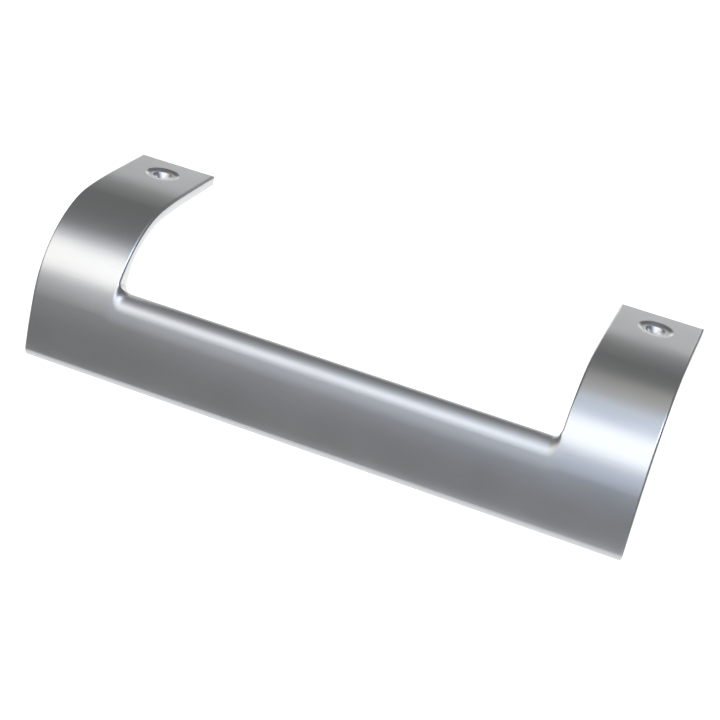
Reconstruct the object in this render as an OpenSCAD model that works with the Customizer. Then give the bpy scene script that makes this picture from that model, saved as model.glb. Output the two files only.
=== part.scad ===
// Refrigerator door handle: one bent aluminium plate with two screw arms and a wide grip.
// X runs along the handle, +Y points back over the door and +Z up. The arms rest on Z = 0,
// and the origin lies on that seat, midway between the two screw holes.

/* [Plate] */
// Length of the handle, from end to end
handle_length = 222.5; // [160:0.5:320]
// Width of each arm, beside the window
arm_width = 30.5; // [22:0.5:45]
// Thickness of the plate in the arms and at the lower edge
plate_thickness = 4; // [3:0.25:5]

/* [Bend, on the outer face] */
// Flat length of each arm, from its back edge
flat_length = 26; // [22:0.5:40]
// Radius of the slight bend where the flat ends
crown_radius = 185; // [120:5:260]
// Angle of the slight bend
crown_angle = 5.5; // [3:0.5:8]
// Radius of the main bend
bend_radius = 37.5; // [30:0.5:60]
// Angle of the main bend
bend_angle = 76; // [74:0.5:78]
// Radius of the nearly flat front
front_radius = 165; // [100:5:300]
// Angle of the nearly flat front
front_angle = 8.5; // [6:0.5:12]

/* [Grip] */
// Tilt of the outer face at the upper edge of the grip, from horizontal
grip_edge_angle = 65; // [60:0.5:66]
// Tilt at which the plate starts to thicken toward the grip's flat back
swell_start_angle = 48; // [44:0.5:50]
// Radius that blends the grip's flat back into the bend
swell_blend_radius = 8; // [4:0.5:14]
// Outer rounding of the grip's upper edge
lip_rounding = 6; // [4:0.1:6.2]
// Inner rounding of the grip's upper edge
lip_inner_rounding = 0.4; // [0.2:0.05:0.5]
// Outer rounding of the grip's lower edge
lower_rounding = 3.6; // [1:0.1:3.8]
// Fillet between the grip's upper edge and each arm
corner_fillet = 3; // [1:0.25:5]

/* [Screw holes] */
// Distance of each hole's centre from the arm's back edge
hole_setback = 14; // [10:0.5:16]
// Diameter of the hole for the screw's shank
shank_hole_d = 5; // [4.2:0.1:5.5]
// Diameter of the steep countersink, at the floor of the shallow seat
countersink_d = 7; // [6:0.1:7]
// Included angle of the steep countersink
countersink_angle = 45; // [42:1:60]
// Diameter of the shallow seat for the screw's head, on the outer face
head_seat_d = 12.6; // [11:0.1:14]
// Depth of the shallow seat
head_seat_depth = 0.6; // [0.3:0.1:0.8]
// Included angle of the shallow seat's sloping wall
head_seat_angle = 130; // [110:1:134]

/* [Hidden] */
$fn = 96;
// A cut runs this far past the face that it opens
overshoot = 1;

half_length = handle_length / 2;
arm_inner_x = half_length - arm_width;
hole_x = half_length - arm_width / 2;
back_y = hole_setback;
bend_start_y = back_y - flat_length;
main_start = crown_angle;
main_end = crown_angle + bend_angle;
end_angle = main_end + front_angle;
inner_bend_radius = bend_radius - plate_thickness;

// Outward direction of the outer face where it is tilted by this angle
function outward(tilt) = [-sin(tilt), cos(tilt)];

// The three arcs share their tangents, so each centre follows from the one before
crown_centre = [bend_start_y, plate_thickness - crown_radius];
bend_centre = crown_centre + (crown_radius - bend_radius) * outward(main_start);
front_centre = bend_centre + (bend_radius - front_radius) * outward(main_end);

// The grip's back is flat, from the start of the swell to the inner corner of the lower edge
swell_point = bend_centre + inner_bend_radius * outward(swell_start_angle);
lower_point = front_centre + (front_radius - plate_thickness) * outward(end_angle);
back_up = (swell_point - lower_point) / norm(swell_point - lower_point);
back_normal = [back_up.y, -back_up.x];

// The blend touches the bend's inner face and the flat back
blend_offset = (bend_centre - lower_point) * back_normal - swell_blend_radius;
blend_reach = sqrt(pow(inner_bend_radius - swell_blend_radius, 2) - pow(blend_offset, 2));
blend_centre = bend_centre - blend_offset * back_normal + blend_reach * back_up;
blend_arm = blend_centre - bend_centre;
blend_start = atan2(-blend_arm.x, blend_arm.y);
blend_foot = blend_centre - swell_blend_radius * back_normal;
blend_foot_arm = blend_foot - bend_centre;
blend_end = atan2(-blend_foot_arm.x, blend_foot_arm.y);

// The lip's roundings, in the frame of the bend turned to the grip's upper edge
lip_centre_y = sqrt(pow(bend_radius - lip_rounding, 2) - pow(lip_rounding, 2));
lip_tangent_angle = grip_edge_angle + asin(lip_rounding / (bend_radius - lip_rounding));
lip_back_y = ((lower_point - bend_centre) * back_normal) / (outward(grip_edge_angle) * back_normal);
lip_thickness = bend_radius - lip_back_y;
lip_back_slope = atan2(back_up * outward(grip_edge_angle),
                       back_up * [cos(grip_edge_angle), sin(grip_edge_angle)]);

// A slice of a disc between two tilts
module slice(centre, radius, from, to) {
    reach = 1.2 * radius;
    translate(centre)
        intersection() {
            circle(r = radius);
            polygon([[0, 0], reach * outward(from), reach * outward((from + to) / 2), reach * outward(to)]);
        }
}

// A stretch of plate of even thickness between two tilts
module bent_strip(centre, radius, from, to) {
    difference() {
        slice(centre, radius, from, to);
        translate(centre) circle(r = radius - plate_thickness);
    }
}

// What the rounding of an outer edge takes off a radial cut; side is the sense of the material
module outer_edge_waste(centre, radius, tilt, rounding, side) {
    rounding_y = sqrt(pow(radius - rounding, 2) - pow(rounding, 2));
    translate(centre)
        rotate(tilt)
            difference() {
                translate([side > 0 ? 0 : -rounding, rounding_y])
                    square([rounding, rounding + overshoot]);
                translate([side * rounding, rounding_y]) circle(r = rounding);
            }
}

// What the inner rounding takes off the grip's upper edge, where the flat back ends
module inner_edge_waste() {
    r = lip_inner_rounding;
    y = lip_back_y + r * (1 - sin(lip_back_slope)) / cos(lip_back_slope);
    to_cut = (r + overshoot) * [1, 0];
    to_back = (r + overshoot) * [sin(lip_back_slope), -cos(lip_back_slope)];
    translate(bend_centre)
        rotate(grip_edge_angle)
            translate([-r, y])
                difference() {
                    polygon([[0, 0], to_back, to_back + to_cut, to_cut]);
                    circle(r = r);
                }
}

// The open side of the grip's flat back
module back_waste() {
    reach = 1.2 * front_radius;
    polygon([for (side = [[-1, 0], [1, 0], [1, 1], [-1, 1]])
        lower_point + reach * (side.x * back_up + side.y * back_normal)]);
}

// The plate where the blend leads from the bend's inner face to the flat back
module blend_section() {
    difference() {
        slice(bend_centre, bend_radius, blend_start, blend_end);
        translate(bend_centre) circle(r = norm(blend_arm));
        translate(blend_centre) circle(r = swell_blend_radius);
    }
}

// The plate from a tilt in the main bend down to its lower edge, with the thick grip
module grip_section(from) {
    difference() {
        union() {
            slice(bend_centre, bend_radius, from, main_end);
            slice(front_centre, front_radius, main_end, end_angle);
        }
        back_waste();
        outer_edge_waste(front_centre, front_radius, end_angle, lower_rounding, 1);
    }
}

// The whole section of the plate, as it runs through an arm
module arm_section() {
    translate([bend_start_y, 0]) square([flat_length, plate_thickness]);
    bent_strip(crown_centre, crown_radius, 0, main_start);
    bent_strip(bend_centre, bend_radius, main_start, blend_start);
    blend_section();
    grip_section(blend_end);
}

// The section of the grip below the window, with its rounded upper edge
module bar_section() {
    difference() {
        grip_section(grip_edge_angle);
        outer_edge_waste(bend_centre, bend_radius, grip_edge_angle, lip_rounding, -1);
        inner_edge_waste();
    }
}

// Runs a section in Y and Z along X
module along_x(from, to) {
    translate([from, 0, 0])
        rotate([90, 0, 90])
            linear_extrude(height = to - from)
                children();
}

// A screw hole, open from below the seat to above the outer face: a bore, a steep countersink and,
// above it, a shallow seat with a flat floor
module screw_hole() {
    floor_z = plate_thickness - head_seat_depth;
    sink_depth = (countersink_d - shank_hole_d) / 2 / tan(countersink_angle / 2);
    seat_floor_d = head_seat_d - 2 * head_seat_depth * tan(head_seat_angle / 2);
    translate([0, 0, -overshoot])
        cylinder(d = shank_hole_d, h = plate_thickness + overshoot);
    translate([0, 0, floor_z - sink_depth])
        cylinder(d1 = shank_hole_d, d2 = countersink_d, h = sink_depth);
    translate([0, 0, floor_z])
        cylinder(d1 = seat_floor_d, d2 = head_seat_d, h = head_seat_depth);
    translate([0, 0, plate_thickness])
        cylinder(d = head_seat_d, h = overshoot);
}

// The section of the fillet in a corner: a square less a quarter disc, start away from its axis
module fillet_profile(start) {
    difference() {
        translate([start, -corner_fillet]) square(corner_fillet);
        translate([start + corner_fillet, -corner_fillet]) circle(r = corner_fillet);
    }
}

// The fillet between the grip's rounded upper edge and the arm at +X, ending at the outer face
module corner_fillet_body() {
    intersection() {
        along_x(arm_inner_x - corner_fillet, arm_inner_x) arm_section();
        translate([0, bend_centre.x, bend_centre.y])
            rotate([grip_edge_angle, 0, 0])
                rotate([90, 0, 90]) {
                    translate([-lip_rounding, lip_centre_y, arm_inner_x])
                        rotate_extrude(angle = 90 + lip_tangent_angle - grip_edge_angle)
                            fillet_profile(lip_rounding);
                    translate([0, lip_centre_y, arm_inner_x])
                        rotate([90, 0, 0])
                            linear_extrude(height = lip_thickness)
                                fillet_profile(0);
                }
    }
}

module handle() {
    color("silver")
        difference() {
            union() {
                along_x(-half_length, -arm_inner_x) arm_section();
                along_x(-arm_inner_x, arm_inner_x) bar_section();
                along_x(arm_inner_x, half_length) arm_section();
                corner_fillet_body();
                mirror([1, 0, 0]) corner_fillet_body();
            }
            for (side = [-1, 1])
                translate([side * hole_x, 0, 0]) screw_hole();
        }
}

handle();
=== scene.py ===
# A refrigerator door handle of satin aluminium, seen from above and in front, right of its middle.
import math

import bmesh
import bpy
from mathutils import Matrix, Vector


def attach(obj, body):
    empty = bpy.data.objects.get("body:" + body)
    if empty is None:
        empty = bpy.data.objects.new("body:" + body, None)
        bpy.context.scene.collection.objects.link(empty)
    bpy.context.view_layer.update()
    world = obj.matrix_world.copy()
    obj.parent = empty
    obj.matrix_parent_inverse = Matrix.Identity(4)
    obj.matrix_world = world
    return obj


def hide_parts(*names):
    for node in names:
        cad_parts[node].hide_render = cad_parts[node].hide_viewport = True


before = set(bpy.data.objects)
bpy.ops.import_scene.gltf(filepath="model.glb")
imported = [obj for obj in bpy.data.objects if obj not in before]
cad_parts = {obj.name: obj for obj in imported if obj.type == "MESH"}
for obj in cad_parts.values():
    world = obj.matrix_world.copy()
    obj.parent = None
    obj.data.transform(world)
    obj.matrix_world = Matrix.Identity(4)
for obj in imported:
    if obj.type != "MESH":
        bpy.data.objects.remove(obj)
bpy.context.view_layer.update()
scene = bpy.context.scene

# Camera
# It stands 0.6 m away, in front of the handle and beyond its right arm, and looks down at it at the
# photograph's viewing angle, through a long lens.
MM = 0.001
CAMERA_LENS = 82.60
CAMERA_PLACE = (135.61 * MM, -542.64 * MM, 220.74 * MM)
camera_data = bpy.data.cameras.new("camera")
camera_data.sensor_width = 36.0
camera_data.lens = CAMERA_LENS
camera_data.clip_start = 0.01
camera = bpy.data.objects.new("camera", camera_data)
scene.collection.objects.link(camera)
camera_right = Vector((0.92376, 0.33317, 0.18884))
camera_forward = Vector((-0.22844, 0.87515, -0.42652)).normalized()
camera_up = camera_right.cross(camera_forward).normalized()
camera_right = camera_forward.cross(camera_up)
camera_turn = Matrix((camera_right, camera_up, -camera_forward)).transposed()
camera.matrix_world = Matrix.Translation(CAMERA_PLACE) @ camera_turn.to_4x4()
scene.camera = camera

# Handle
# The real piece is one length of extruded aluminium, 4 mm thick in its arms and thicker in its
# grip, that a screw through each arm fixes to the door. Here it is cut out flat, with its window,
# its roundings and its two-step screw holes, and then bent to shape by Geometry Nodes.

# The plate and the arcs of its outer face, from the back edge down, in millimetres and degrees
HALF_LENGTH = 111.25
PLATE = 4.0
BACK_EDGE_Y = 14.0
FLAT = 26.0
CROWN_RADIUS, CROWN_ANGLE = 185.0, 5.5
BEND_RADIUS, BEND_ANGLE = 37.5, 76.0
FRONT_RADIUS, FRONT_ANGLE = 165.0, 8.5
LOWER_RADIUS = 3.6

# The window between the arms, and the grip below it, which swells to a flat back
WALL_X = 80.75
WINDOW_TILT = 65.0
CORNER_FILLET = 3.0
SWELL_TILT = 48.0
SWELL_BLEND = 8.0

# Roundings of the edges: large on the grip's upper edge, which fades into the arms' small one
LIP_ROUNDING = 6.0
LIP_INNER_ROUNDING = 0.4
EDGE_ROUNDING = 0.8
UNDER_ROUNDING = 0.3
ROUNDING_FADE = 3.6

# A screw hole: a shallow seat with a flat floor, a steep countersink and a bore
HOLE_X = 96.0
HEAD_SEAT_RADIUS, HEAD_SEAT_FLOOR_RADIUS, HEAD_SEAT_DEPTH = 6.3, 5.0, 0.6
COUNTERSINK_RADIUS, COUNTERSINK_FOOT_DEPTH = 3.5, 3.0
SHANK_RADIUS = 2.5
HOLE_ROUNDING = 0.12


def outward(tilt):
    """The outer face's direction in (y, z) where it is tilted by this many degrees."""
    return Vector((-math.sin(math.radians(tilt)), math.cos(math.radians(tilt))))


# Centres of the arcs in (y, z), and where each starts down the outer face
lower_tuck = math.degrees(math.asin(LOWER_RADIUS / (FRONT_RADIUS - LOWER_RADIUS)))
front_start = CROWN_ANGLE + BEND_ANGLE
end_tilt = front_start + FRONT_ANGLE
crown_centre = Vector((BACK_EDGE_Y - FLAT, PLATE - CROWN_RADIUS))
bend_centre = crown_centre + (CROWN_RADIUS - BEND_RADIUS) * outward(CROWN_ANGLE)
front_centre = bend_centre + (BEND_RADIUS - FRONT_RADIUS) * outward(front_start)
crown_length = CROWN_RADIUS * math.radians(CROWN_ANGLE)
bend_length = BEND_RADIUS * math.radians(BEND_ANGLE)
front_length = FRONT_RADIUS * math.radians(FRONT_ANGLE - lower_tuck)
lower_length = LOWER_RADIUS * math.radians(90 + lower_tuck)
lower_centre_depth = (FRONT_RADIUS - LOWER_RADIUS) * math.cos(math.radians(lower_tuck))
lower_flat = PLATE - FRONT_RADIUS + lower_centre_depth
bend_down = FLAT + crown_length
front_down = bend_down + bend_length
lower_down = front_down + front_length
lower_flat_down = lower_down + lower_length
blank_length = lower_flat_down + lower_flat
window_down = bend_down + BEND_RADIUS * math.radians(WINDOW_TILT - CROWN_ANGLE)

# The grip's flat back, and the blend that leads to it from the bend's inner face
inner_radius = BEND_RADIUS - PLATE
swell_point = bend_centre + inner_radius * outward(SWELL_TILT)
inner_corner = front_centre + (FRONT_RADIUS - PLATE) * outward(end_tilt)
back_up = (swell_point - inner_corner).normalized()
back_normal = Vector((back_up.y, -back_up.x))
blend_offset = (bend_centre - inner_corner).dot(back_normal) - SWELL_BLEND
blend_reach = math.sqrt((inner_radius - SWELL_BLEND) ** 2 - blend_offset ** 2)
blend_centre = bend_centre - blend_offset * back_normal + blend_reach * back_up
blend_foot = blend_centre - SWELL_BLEND * back_normal


def tilt_about_bend(point):
    """Tilt at which a point in (y, z) is seen from the bend's centre."""
    arm = point - bend_centre
    return math.degrees(math.atan2(-arm.x, arm.y))


blend_start = tilt_about_bend(blend_centre)
blend_end = tilt_about_bend(blend_foot)


def thickness(down):
    """Thickness of the plate, square to the outer face, at this distance down it."""
    if down < front_down:
        tilt = CROWN_ANGLE + math.degrees((down - bend_down) / BEND_RADIUS)
        centre, radius = bend_centre, BEND_RADIUS
    else:
        tilt = front_start + math.degrees((down - front_down) / FRONT_RADIUS)
        centre, radius = front_centre, FRONT_RADIUS
    if down < bend_down or tilt <= blend_start:
        return PLATE
    ray = outward(tilt)
    if tilt < blend_end:
        along = (blend_centre - centre).dot(ray)
        aside = (blend_centre - centre).length_squared - along ** 2
        return radius - along - math.sqrt(SWELL_BLEND ** 2 - aside)
    return radius - (inner_corner - centre).dot(back_normal) / ray.dot(back_normal)


# The blank is set out as its left half, in places (along, down, deep): along the handle, down the
# outer face from the back edge, and into the metal. Three sizes and the numbers of steps space its
# lines. HOLD is from a rounding to the line that keeps the face beside it flat, HOLE_PATCH is half
# a side of the square of quads round a screw hole, and COLLAR_REACH is how far the collar of quads
# round the window reaches below it.
HOLD = 0.4
HOLE_PATCH = 7.25
COLLAR_REACH = 10.0
ROUNDING_STEPS = 8
COLLAR_STEPS = 4
HOLE_STEPS = 16
CROWN_STEPS = 6
BEND_STEPS = 26
FILLET_STEPS = 16
MIDDLE_STEPS = 16
FRONT_STEPS = 7
LOWER_STEPS = 8
hole_down = BACK_EDGE_Y
collar_x = -HOLE_X + HOLE_PATCH
collar_down = window_down + COLLAR_REACH
fillet_x = -WALL_X + CORNER_FILLET
fillet_down = window_down - CORNER_FILLET


def evenly_spaced(start, end, steps):
    """Evenly spaced values from start to end, both included."""
    return [start + (end - start) * k / steps for k in range(steps + 1)]


def edge_rounding(radius):
    """(inward, deep) steps of a quarter round, from the side wall to the face."""
    turns = [math.radians(90) * k / ROUNDING_STEPS for k in range(ROUNDING_STEPS + 1)]
    return [(radius * (1 - math.cos(turn)), radius * (1 - math.sin(turn))) for turn in turns]


def lip_rounding(radius):
    """The same for the grip's upper edge: round between the radial cut and the bent outer face."""
    centre_y = math.sqrt((BEND_RADIUS - radius) ** 2 - radius ** 2)
    sweep = math.radians(90) + math.asin(radius / (BEND_RADIUS - radius))
    steps = []
    for k in range(ROUNDING_STEPS + 1):
        turn = sweep * k / ROUNDING_STEPS
        point = Vector((radius * math.cos(turn) - radius, centre_y + radius * math.sin(turn)))
        inward = BEND_RADIUS * math.atan2(-point.x, point.y)
        steps.append((inward, BEND_RADIUS - point.length))
    return steps


def arm_lines(rounding):
    """(along, deep) of the lines across the arm, from its outer side to the window's collar."""
    rim = [(-HALF_LENGTH + inward, deep) for inward, deep in edge_rounding(rounding)]
    hold = [(-HALF_LENGTH + rounding + HOLD, 0.0)]
    hole = [(along, 0.0) for along in evenly_spaced(-HOLE_X - HOLE_PATCH, collar_x, HOLE_STEPS)]
    return rim + hold + hole


def down_lines(rounding):
    """(down, deep) of the lines down the face, from the back edge to the lower rounding."""
    hold = [rounding + HOLD]
    hole = evenly_spaced(hole_down - HOLE_PATCH, hole_down + HOLE_PATCH, HOLE_STEPS)
    crown = evenly_spaced(FLAT, bend_down, CROWN_STEPS)
    bend = evenly_spaced(bend_down, fillet_down, BEND_STEPS)[1:]
    corner = evenly_spaced(fillet_down, collar_down, FILLET_STEPS // 2)[1:]
    front = evenly_spaced(front_down, lower_down, FRONT_STEPS)
    on_the_face = hold + hole + crown + bend + corner + front
    return edge_rounding(rounding) + [(down, 0.0) for down in on_the_face]


# The lines below those, and the ones across from the collar to the fillet and on to the middle
lower_lines = evenly_spaced(lower_down, lower_flat_down, LOWER_STEPS)[1:] + [blank_length]
corner_x = evenly_spaced(collar_x, fillet_x, FILLET_STEPS // 2)
middle_x = evenly_spaced(fillet_x, 0.0, MIDDLE_STEPS)[1:]

# Numbers of lines: the hole's first one, across and down, the collar's lower edge and the fillet
hole_line = ROUNDING_STEPS + 2
collar_line = len(down_lines(EDGE_ROUNDING)) - (FRONT_STEPS + 1) - 1
fillet_line = collar_line - FILLET_STEPS // 2


def window_outline(rounding):
    """Places round the window, from the back edge to the handle's middle. Each has its point, the
    direction into the metal, the way left to the grip's edge, its point on the collar, and the
    depth that the back edge's rounding gives both."""
    outline = []
    for down, deep in down_lines(rounding)[:fillet_line + 1]:
        away = max(0.0, fillet_down - down) + CORNER_FILLET * math.radians(90)
        outline.append(((-WALL_X, down), (-1.0, 0.0), away, (collar_x, down), deep))
    corner_down = evenly_spaced(fillet_down, collar_down, FILLET_STEPS // 2)
    collar = [(collar_x, down) for down in corner_down]
    collar += [(along, collar_down) for along in corner_x[1:]]
    for k in range(1, FILLET_STEPS + 1):
        turn = math.radians(90) * k / FILLET_STEPS
        inward = (-math.cos(turn), math.sin(turn))
        point = (fillet_x + CORNER_FILLET * inward[0], fillet_down + CORNER_FILLET * inward[1])
        away = CORNER_FILLET * (math.radians(90) - turn)
        outline.append((point, inward, away, collar[k], 0.0))
    for along in middle_x:
        outline.append(((along, window_down), (0.0, 1.0), 0.0, (along, collar_down), 0.0))
    return outline


def window_lines(rounding, lip):
    """A line of points at each place of the outline, over the rounding and on to the collar. The
    rounding grows from the arm's to the lip's as the outline comes to the grip's edge."""
    def point_between(start, end, share):
        return [a + (b - a) * share for a, b in zip(start, end)]

    lines = []
    for point, inward, away, collar_point, edge_depth in window_outline(rounding):
        near = max(0.0, 1 - away / ROUNDING_FADE)
        radius = rounding + (lip - rounding) * near * near * (3 - 2 * near)
        share = inward[1] ** 2
        line = []
        for plain_step, lip_step in zip(edge_rounding(radius), lip_rounding(radius)):
            reach, deep = point_between(plain_step, lip_step, share)
            along, down = point[0] + inward[0] * reach, point[1] + inward[1] * reach
            line.append((along, down, max(deep, edge_depth)))
        hold = reach + HOLD
        held = (point[0] + inward[0] * hold, point[1] + inward[1] * hold)
        for k in range(COLLAR_STEPS + 1):
            along, down = point_between(held, collar_point, k / COLLAR_STEPS)
            line.append((along, down, edge_depth))
        lines.append(line)
    return lines


blank = bmesh.new()


def blank_point(along, down, deep):
    """A vertex of the blank: X is along, -Y down and -Z deep."""
    return blank.verts.new((along * MM, -down * MM, -deep * MM))


def add_quads(rows, flip=False):
    """Quads between rows of places."""
    placed = [[blank_point(*place) for place in row] for row in rows]
    for upper, lower in zip(placed, placed[1:]):
        for i in range(len(upper) - 1):
            face = (upper[i], lower[i], lower[i + 1], upper[i + 1])
            blank.faces.new(reversed(face) if flip else face)


def plate_face(rounding, lip, under):
    """One face of the plate with its roundings: the outer face, or with under the inner one.
    It gives back the rows of the arm and the lines round the window, for the side walls."""
    def place(along, down, deep):
        return (along, down, thickness(down) - deep) if under else (along, down, deep)

    # The arm, on which only the outer face goes round the lower rounding to the blank's end
    across, downward = arm_lines(rounding), down_lines(rounding)
    arm = [[place(along, down, max(deep, edge_depth)) for along, deep in across]
           for down, edge_depth in downward]
    end = [[(along, down, deep) for along, deep in arm_lines(EDGE_ROUNDING)]
           for down in lower_lines]
    arm += end[-1:] if under else end
    for j in range(len(arm) - 1):
        beside_hole = hole_line <= j < hole_line + HOLE_STEPS
        stop = hole_line + 1 if beside_hole else len(across)
        add_quads([arm[j][:stop], arm[j + 1][:stop]], under)
    window = [[place(*point) for point in line] for line in window_lines(rounding, lip)]
    add_quads(window, not under)

    # The grip below the window's collar, to the handle's middle
    grip_x = corner_x + middle_x
    below = [[place(along, down, 0.0) for along in grip_x]
             for down, edge_depth in downward[collar_line:]]
    below_end = [[(along, down, 0.0) for along in grip_x] for down in lower_lines]
    add_quads(below + (below_end[-1:] if under else below_end), under)
    return arm, window


outer_arm, outer_window = plate_face(EDGE_ROUNDING, LIP_ROUNDING, False)
inner_arm, inner_window = plate_face(UNDER_ROUNDING, LIP_INNER_ROUNDING, True)

# Side walls: round the window, across the arm's back edge and down its outer side, where one face
# closes the lower rounding
add_quads([[line[0] for line in outer_window], [line[0] for line in inner_window]])
outer_back = outer_arm[0] + [(along, down, EDGE_ROUNDING)
                             for along, down, deep in reversed(outer_window[0][:-1])]
inner_back = inner_arm[0] + [(along, down, PLATE - UNDER_ROUNDING)
                             for along, down, deep in reversed(inner_window[0][:-1])]
add_quads([inner_back, outer_back])
outer_side = [row[0] for row in outer_arm]
inner_side = [row[0] for row in inner_arm]
side_rows = len(inner_side) - 1
add_quads([outer_side[:side_rows], inner_side[:side_rows]])
lower_end = outer_side[side_rows - 1:] + [inner_side[side_rows - 1]]
blank.faces.new([blank_point(*place) for place in lower_end])


def softened_corners(corners, rounding, steps=4):
    """A run of (radius, deep) corners with a small rounding at each inner one."""
    run = [corners[0]]
    for before, corner, after in zip(corners, corners[1:], corners[2:]):
        before, corner, after = Vector(before), Vector(corner), Vector(after)
        start = corner + (before - corner).normalized() * rounding
        end = corner + (after - corner).normalized() * rounding
        for k in range(steps + 1):
            part = k / steps
            point = start.lerp(corner, part).lerp(corner.lerp(end, part), part)
            run.append((point.x, point.y))
    return run + [corners[-1]]


def hole_ring(radius, deep):
    """Points round a screw hole, in step with the edge of its patch of quads."""
    points = []
    for i in range(4 * HOLE_STEPS + 1):
        turn = math.radians(-135 + 360 * i / (4 * HOLE_STEPS))
        points.append((-HOLE_X + radius * math.cos(turn), hole_down + radius * math.sin(turn), deep))
    return points


def patch_edge(deep):
    """Points round the square edge of the patch of quads about a screw hole."""
    half = HOLE_PATCH
    side = [-half + 2 * half * i / HOLE_STEPS for i in range(HOLE_STEPS)]
    around = [(s, -half) for s in side] + [(half, s) for s in side]
    around += [(-s, half) for s in side] + [(-half, -s) for s in side]
    return [(-HOLE_X + x, hole_down + y, deep) for x, y in around + around[:1]]


# The screw hole runs from a ring of flat face round its seat to one round its bore, underneath
SEAT_RIM = 0.6
BORE_RIM = 1.5
hole_profile = softened_corners([
    (HEAD_SEAT_RADIUS + SEAT_RIM, 0.0),
    (HEAD_SEAT_RADIUS, 0.0),
    (HEAD_SEAT_FLOOR_RADIUS, HEAD_SEAT_DEPTH),
    (COUNTERSINK_RADIUS, HEAD_SEAT_DEPTH),
    (SHANK_RADIUS, COUNTERSINK_FOOT_DEPTH),
    (SHANK_RADIUS, PLATE),
    (SHANK_RADIUS + BORE_RIM, PLATE),
], HOLE_ROUNDING)
add_quads([patch_edge(0.0)] + [hole_ring(*step) for step in hole_profile] + [patch_edge(PLATE)])

# The right half is the left one mirrored, with its faces reversed to point outwards again
SAME_PLACE = 1e-6
bmesh.ops.remove_doubles(blank, verts=blank.verts, dist=SAME_PLACE)
mirrored = bmesh.ops.duplicate(blank, geom=blank.verts[:] + blank.edges[:] + blank.faces[:])["geom"]
for part in mirrored:
    if isinstance(part, bmesh.types.BMVert):
        part.co.x = -part.co.x
mirrored_faces = [part for part in mirrored if isinstance(part, bmesh.types.BMFace)]
bmesh.ops.reverse_faces(blank, faces=mirrored_faces)
bmesh.ops.remove_doubles(blank, verts=blank.verts, dist=SAME_PLACE)
bmesh.ops.recalc_face_normals(blank, faces=blank.faces)
blank_mesh = bpy.data.meshes.new("blank")
blank.to_mesh(blank_mesh)
blank.free()
blank_piece = bpy.data.objects.new("blank", blank_mesh)
scene.collection.objects.link(blank_piece)


def calc(tree, operation, *values):
    """A Math node on these numbers and sockets, by its result."""
    node = tree.nodes.new("ShaderNodeMath")
    node.operation = operation
    for socket, value in zip(node.inputs, values):
        if isinstance(value, (int, float)):
            socket.default_value = value
        else:
            tree.links.new(value, socket)
    return node.outputs[0]


def map_range(tree, value, given, wanted, interpolation="LINEAR"):
    """A Map Range node that turns the range given into the one wanted, by its result."""
    node = tree.nodes.new("ShaderNodeMapRange")
    node.interpolation_type = interpolation
    for name, number in zip(("From Min", "From Max", "To Min", "To Max"), given + wanted):
        node.inputs[name].default_value = number
    tree.links.new(value, node.inputs["Value"])
    return node.outputs["Result"]


def noise(tree, place, scale, detail):
    """A Noise Texture node at this place, by its result."""
    node = tree.nodes.new("ShaderNodeTexNoise")
    node.inputs["Scale"].default_value = scale
    node.inputs["Detail"].default_value = detail
    tree.links.new(place, node.inputs["Vector"])
    return node.outputs["Fac"]


# Its finish: satin aluminium with a very fine grain along the handle, a little rougher in patches,
# and dulled by fingers on the rounded upper edge of the grip between the arms
DARKER_METAL = (0.64, 0.645, 0.65, 1.0)
LIGHTER_METAL = (0.70, 0.705, 0.712, 1.0)
GRAIN_PER_METRE = (120.0, 2600.0, 2600.0)
GRAIN_DETAIL = 3.0
PATCHES_PER_METRE = 45.0
PATCH_DETAIL = 2.0
ROUGHNESS = (0.26, 0.33)
GRAIN_BUMP = 0.05
GRAIN_HEIGHT = 0.2
# The lip's dullness fades out over these millimetres past its rounding and past the arm's wall
LIP_DULLNESS = 0.16
FADE_PAST_LIP = (0.2, 2.0)
FADE_PAST_WALL = (-0.5, 3.0)
lip_down = Vector((-math.cos(math.radians(WINDOW_TILT)), -math.sin(math.radians(WINDOW_TILT))))
lip_out = math.sqrt((BEND_RADIUS - LIP_ROUNDING) ** 2 - LIP_ROUNDING ** 2)
lip_centre = bend_centre + lip_out * outward(WINDOW_TILT) + LIP_ROUNDING * lip_down


def lip_dullness(tree, place):
    """The roughness added on the grip's upper edge, by the distance from its rounding's axis."""
    along_lip = tree.nodes.new("ShaderNodeMapping")
    along_lip.inputs["Location"].default_value = (0.0, -lip_centre.x * MM, -lip_centre.y * MM)
    tree.links.new(place, along_lip.inputs["Vector"])
    parts = tree.nodes.new("ShaderNodeSeparateXYZ")
    tree.links.new(along_lip.outputs["Vector"], parts.inputs[0])
    across = tree.nodes.new("ShaderNodeCombineXYZ")
    tree.links.new(parts.outputs["Y"], across.inputs["Y"])
    tree.links.new(parts.outputs["Z"], across.inputs["Z"])
    from_axis = tree.nodes.new("ShaderNodeVectorMath")
    from_axis.operation = "LENGTH"
    tree.links.new(across.outputs[0], from_axis.inputs[0])
    past_lip = tuple((LIP_ROUNDING + reach) * MM for reach in FADE_PAST_LIP)
    past_wall = tuple((WALL_X + reach) * MM for reach in FADE_PAST_WALL)
    distance = from_axis.outputs["Value"]
    near_lip = map_range(tree, distance, past_lip, (LIP_DULLNESS, 0.0), "SMOOTHSTEP")
    aside = calc(tree, "ABSOLUTE", parts.outputs["X"])
    between_arms = map_range(tree, aside, past_wall, (1.0, 0.0), "SMOOTHSTEP")
    return calc(tree, "MULTIPLY", near_lip, between_arms)


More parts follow.
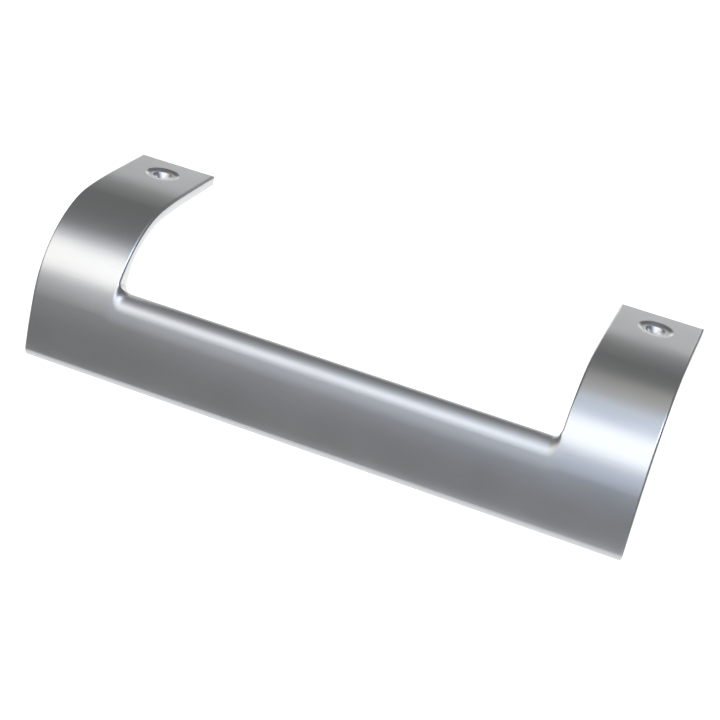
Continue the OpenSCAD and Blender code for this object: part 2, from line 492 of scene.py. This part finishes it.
def satin_aluminium():
    """The handle's metal."""
    material = bpy.data.materials.new("satin_aluminium")
    material.use_nodes = True
    tree = material.node_tree
    shader = tree.nodes["Principled BSDF"]
    shader.inputs["Metallic"].default_value = 1.0
    place = tree.nodes.new("ShaderNodeTexCoord").outputs["Object"]
    stretch = tree.nodes.new("ShaderNodeMapping")
    stretch.inputs["Scale"].default_value = GRAIN_PER_METRE
    tree.links.new(place, stretch.inputs["Vector"])
    grain = noise(tree, stretch.outputs["Vector"], 1.0, GRAIN_DETAIL)
    patches = noise(tree, place, PATCHES_PER_METRE, PATCH_DETAIL)

    colour = tree.nodes.new("ShaderNodeMix")
    colour.data_type = "RGBA"
    colour.inputs["A"].default_value = DARKER_METAL
    colour.inputs["B"].default_value = LIGHTER_METAL
    tree.links.new(grain, colour.inputs["Factor"])
    tree.links.new(colour.outputs["Result"], shader.inputs["Base Color"])

    plain_roughness = map_range(tree, patches, (0.0, 1.0), ROUGHNESS)
    roughness = calc(tree, "ADD", plain_roughness, lip_dullness(tree, place))
    tree.links.new(roughness, shader.inputs["Roughness"])

    bump = tree.nodes.new("ShaderNodeBump")
    bump.inputs["Strength"].default_value = GRAIN_BUMP
    bump.inputs["Distance"].default_value = GRAIN_HEIGHT * MM
    tree.links.new(grain, bump.inputs["Height"])
    tree.links.new(bump.outputs["Normal"], shader.inputs["Normal"])
    return material


# The bend: a chain of arcs that each turn the blank further down
BENDS = {
    "Crown": (CROWN_RADIUS, CROWN_ANGLE),
    "Main bend": (BEND_RADIUS, BEND_ANGLE),
    "Front": (FRONT_RADIUS, FRONT_ANGLE - lower_tuck),
    "Lower rounding": (LOWER_RADIUS, 90 + lower_tuck),
}
# The sizes that Geometry Nodes are given, in metres and radians
bend_sizes = {
    "Back edge": BACK_EDGE_Y * MM,
    "Plate thickness": PLATE * MM,
    "Flat length": FLAT * MM,
    "Lower flat length": lower_flat * MM,
}
for name, (radius, angle) in BENDS.items():
    bend_sizes[name + " radius"] = radius * MM
    bend_sizes[name + " angle"] = math.radians(angle)


def bend_tree():
    """Geometry Nodes that lay a flat blank round the arcs, one after the other."""
    tree = bpy.data.node_groups.new("bend_the_blank", "GeometryNodeTree")
    interface, nodes, links = tree.interface, tree.nodes, tree.links
    interface.new_socket(name="Geometry", in_out="INPUT", socket_type="NodeSocketGeometry")
    for name in bend_sizes:
        interface.new_socket(name=name, in_out="INPUT", socket_type="NodeSocketFloat")
    interface.new_socket(name="Material", in_out="INPUT", socket_type="NodeSocketMaterial")
    interface.new_socket(name="Geometry", in_out="OUTPUT", socket_type="NodeSocketGeometry")
    given = nodes.new("NodeGroupInput").outputs
    result = nodes.new("NodeGroupOutput")

    def part_past(down, start, length):
        """How much of this length lies between start and the place down the face."""
        past = calc(tree, "MAXIMUM", calc(tree, "SUBTRACT", down, start), 0.0)
        return calc(tree, "MINIMUM", past, length)

    place = nodes.new("ShaderNodeSeparateXYZ")
    links.new(nodes.new("GeometryNodeInputPosition").outputs[0], place.inputs[0])
    down = calc(tree, "MULTIPLY", place.outputs["Y"], -1.0)
    deep = calc(tree, "MULTIPLY", place.outputs["Z"], -1.0)
    on_flat = part_past(down, 0.0, given["Flat length"])
    y = calc(tree, "SUBTRACT", given["Back edge"], on_flat)
    z = given["Plate thickness"]
    start = given["Flat length"]
    tilt = 0.0
    tilt_start = 0.0
    for name in BENDS:
        radius, angle = given[name + " radius"], given[name + " angle"]
        length = calc(tree, "MULTIPLY", radius, angle)
        turned = calc(tree, "DIVIDE", part_past(down, start, length), radius)
        here = calc(tree, "ADD", turned, tilt_start)
        out = calc(tree, "SUBTRACT", calc(tree, "SINE", here), calc(tree, "SINE", tilt_start))
        drop = calc(tree, "SUBTRACT", calc(tree, "COSINE", tilt_start), calc(tree, "COSINE", here))
        y = calc(tree, "SUBTRACT", y, calc(tree, "MULTIPLY", radius, out))
        z = calc(tree, "SUBTRACT", z, calc(tree, "MULTIPLY", radius, drop))
        start = calc(tree, "ADD", start, length)
        tilt = calc(tree, "ADD", tilt, turned)
        tilt_start = calc(tree, "ADD", tilt_start, angle)
    y = calc(tree, "ADD", y, part_past(down, start, given["Lower flat length"]))
    y = calc(tree, "ADD", y, calc(tree, "MULTIPLY", deep, calc(tree, "SINE", tilt)))
    z = calc(tree, "SUBTRACT", z, calc(tree, "MULTIPLY", deep, calc(tree, "COSINE", tilt)))
    bent = nodes.new("ShaderNodeCombineXYZ")
    links.new(place.outputs["X"], bent.inputs["X"])
    links.new(y, bent.inputs["Y"])
    links.new(z, bent.inputs["Z"])
    move = nodes.new("GeometryNodeSetPosition")
    links.new(given["Geometry"], move.inputs["Geometry"])
    links.new(bent.outputs[0], move.inputs["Position"])
    realize = nodes.new("GeometryNodeRealizeInstances")
    links.new(move.outputs[0], realize.inputs[0])
    coat = nodes.new("GeometryNodeSetMaterial")
    links.new(realize.outputs[0], coat.inputs["Geometry"])
    links.new(given["Material"], coat.inputs["Material"])
    links.new(coat.outputs[0], result.inputs[0])
    return tree


bend = blank_piece.modifiers.new("bend", "NODES")
bend.node_group = bend_tree()
bend_inputs = dict(bend_sizes, Material=satin_aluminium())
for socket in bend.node_group.interface.items_tree:
    if socket.in_out == "INPUT" and socket.name in bend_inputs:
        bend[socket.identifier] = bend_inputs[socket.name]
evaluated = blank_piece.evaluated_get(bpy.context.evaluated_depsgraph_get())
handle_mesh = bpy.data.meshes.new_from_object(evaluated)
handle_mesh.name = "door_handle"
bpy.data.objects.remove(blank_piece)
handle_mesh.polygons.foreach_set("use_smooth", [True] * len(handle_mesh.polygons))
handle = bpy.data.objects.new("door_handle", handle_mesh)
scene.collection.objects.link(handle)
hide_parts("handle")
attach(handle, "root")

# Stage
# A white sheet lies 0.3 m below the handle and sweeps up behind it as a low backdrop. It ends
# short in front, at a slant, and short on the right, so that the metal mirrors the grey world
# past it as dark lines. Sizes from here on are in metres.
SHEET_LEFT, SHEET_RIGHT = -1.3, 0.45
FRONT_AT_LEFT, FRONT_AT_RIGHT = -0.14, -0.54
FLOOR_Z = -0.30
FLOOR_BACK = 1.2
SWEEP_RADIUS = 0.3
SWEEP_STEPS = 8
SHEET_TOP = 0.62
sheet_rows = [(FRONT_AT_LEFT, FRONT_AT_RIGHT, FLOOR_Z), (FLOOR_BACK, FLOOR_BACK, FLOOR_Z)]
for k in range(1, SWEEP_STEPS + 1):
    turn = math.radians(90) * k / SWEEP_STEPS
    sweep_y = FLOOR_BACK + SWEEP_RADIUS * math.sin(turn)
    sheet_rows.append((sweep_y, sweep_y, FLOOR_Z + SWEEP_RADIUS * (1 - math.cos(turn))))
sheet_back = FLOOR_BACK + SWEEP_RADIUS
sheet_rows.append((sheet_back, sheet_back, SHEET_TOP))
sheet_bm = bmesh.new()
sheet_pairs = []
for left_y, right_y, z in sheet_rows:
    left = sheet_bm.verts.new((SHEET_LEFT, left_y, z))
    right = sheet_bm.verts.new((SHEET_RIGHT, right_y, z))
    sheet_pairs.append((left, right))
for near, far in zip(sheet_pairs, sheet_pairs[1:]):
    sheet_bm.faces.new((near[0], near[1], far[1], far[0]))
sheet_mesh = bpy.data.meshes.new("floor")
sheet_bm.to_mesh(sheet_mesh)
sheet_bm.free()
sheet = bpy.data.objects.new("floor", sheet_mesh)
scene.collection.objects.link(sheet)

# The camera and the metal see the sheet glow up to white. The glow fades toward the front, which
# keeps the grip's lower edge soft.
SHEET_COLOUR = (0.86, 0.85, 0.81, 1.0)
SHEET_ROUGHNESS = 0.9
WHITE = (1.0, 1.0, 1.0, 1.0)
GLOW_FROM_Y, GLOW_FULL_Y = -0.6, 0.4


def white_sheet():
    """The sheet's matt white, with its glow."""
    material = bpy.data.materials.new("white_sheet")
    material.use_nodes = True
    tree = material.node_tree
    shader = tree.nodes["Principled BSDF"]
    shader.inputs["Base Color"].default_value = SHEET_COLOUR
    shader.inputs["Roughness"].default_value = SHEET_ROUGHNESS
    shader.inputs["Emission Color"].default_value = WHITE
    path = tree.nodes.new("ShaderNodeLightPath").outputs
    seen = calc(tree, "MAXIMUM", path["Is Camera Ray"], path["Is Glossy Ray"])
    seen = calc(tree, "MAXIMUM", seen, path["Is Transmission Ray"])
    place = tree.nodes.new("ShaderNodeTexCoord").outputs["Object"]
    parts = tree.nodes.new("ShaderNodeSeparateXYZ")
    tree.links.new(place, parts.inputs[0])
    glow = map_range(tree, parts.outputs["Y"], (GLOW_FROM_Y, GLOW_FULL_Y), (0.0, 1.0))
    tree.links.new(calc(tree, "MULTIPLY", seen, glow), shader.inputs["Emission Strength"])
    return material


sheet.data.materials.append(white_sheet())

# A grey world fills the gaps between the softboxes
WORLD_GREY = (0.175, 0.175, 0.175, 1.0)
world = bpy.data.worlds.new("studio")
scene.world = world
world.use_nodes = True
world_background = world.node_tree.nodes["Background"]
world_background.inputs["Color"].default_value = WORLD_GREY
world_background.inputs["Strength"].default_value = 1.0

# Five softboxes hang round the handle: a warm one in front and to the left, a wide one with a cool
# one in front, a dim one overhead, and a narrow, bright, cool one on the right
LAMP_DISTANCE = 1.2


def softbox(name, azimuth, height_angle, width, height, radiance):
    """A square-cornered lamp that faces the handle; azimuth turns from the front to the right."""
    data = bpy.data.lights.new(name, "AREA")
    data.shape = "RECTANGLE"
    data.size, data.size_y = width, height
    strongest = max(radiance)
    data.color = [part / strongest for part in radiance]
    data.energy = strongest * width * height * math.pi
    lamp = bpy.data.objects.new(name, data)
    turn, rise = math.radians(azimuth), math.radians(height_angle)
    lamp.location = LAMP_DISTANCE * Vector((
        math.sin(turn) * math.cos(rise), -math.cos(turn) * math.cos(rise), math.sin(rise)))
    lamp.rotation_euler = (-lamp.location).to_track_quat("-Z", "Y").to_euler()
    scene.collection.objects.link(lamp)


softbox("front_softbox", -23.0, 34.5, 2.5, 0.74, (0.97, 0.94, 0.87))
softbox("wide_softbox", 9.0, 33.5, 2.2, 2.26, (0.435, 0.44, 0.44))
softbox("cool_softbox", 16.5, 33.5, 1.65, 2.26, (0.0, 0.075, 0.21))
softbox("overhead_softbox", 65.0, 79.0, 0.8, 0.8, (0.33, 0.32, 0.29))
softbox("right_softbox", 48.6, 49.0, 0.8, 0.32, (3.0, 3.35, 4.3))

scene.view_settings.view_transform = "Standard"
